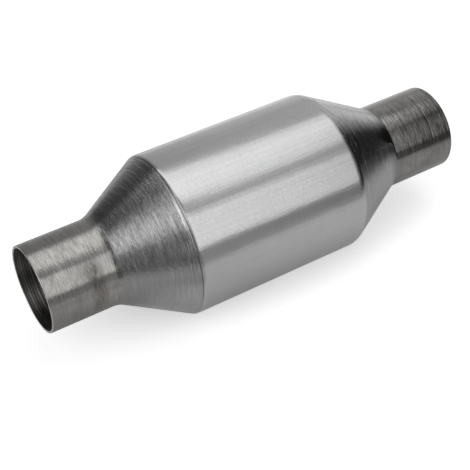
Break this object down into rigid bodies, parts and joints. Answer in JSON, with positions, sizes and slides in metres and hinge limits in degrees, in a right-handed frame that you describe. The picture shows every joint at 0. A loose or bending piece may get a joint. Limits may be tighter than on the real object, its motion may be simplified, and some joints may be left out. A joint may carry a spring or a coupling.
{
  "type": "catalytic converter",
  "caption": "Round spun-steel catalytic converter: one tube closed down to a straight slip-on neck at each end, with a honeycomb brick in a fibre mat inside.",
  "frame": {"origin": "centre of the outlet neck's end face, which the part stands on", "axes": "+Z along the flow axis, from the outlet neck up to the inlet neck"},
  "size_m": [0.1016, 0.1016, 0.2826],
  "materials": {
    "shell_steel": "satin, spun",
    "brick_ceramic": "matte, washcoated",
    "mat_fibre": "matte fibre with dark flakes",
    "seal_wire": "knitted wire"
  },
  "bodies": {
    "root": {"spun_shell": "shell_steel", "catalyst_brick": "brick_ceramic", "support_mat": "mat_fibre", "inlet_end_seal": "seal_wire", "outlet_end_seal": "seal_wire"}
  },
  "joints": []
}
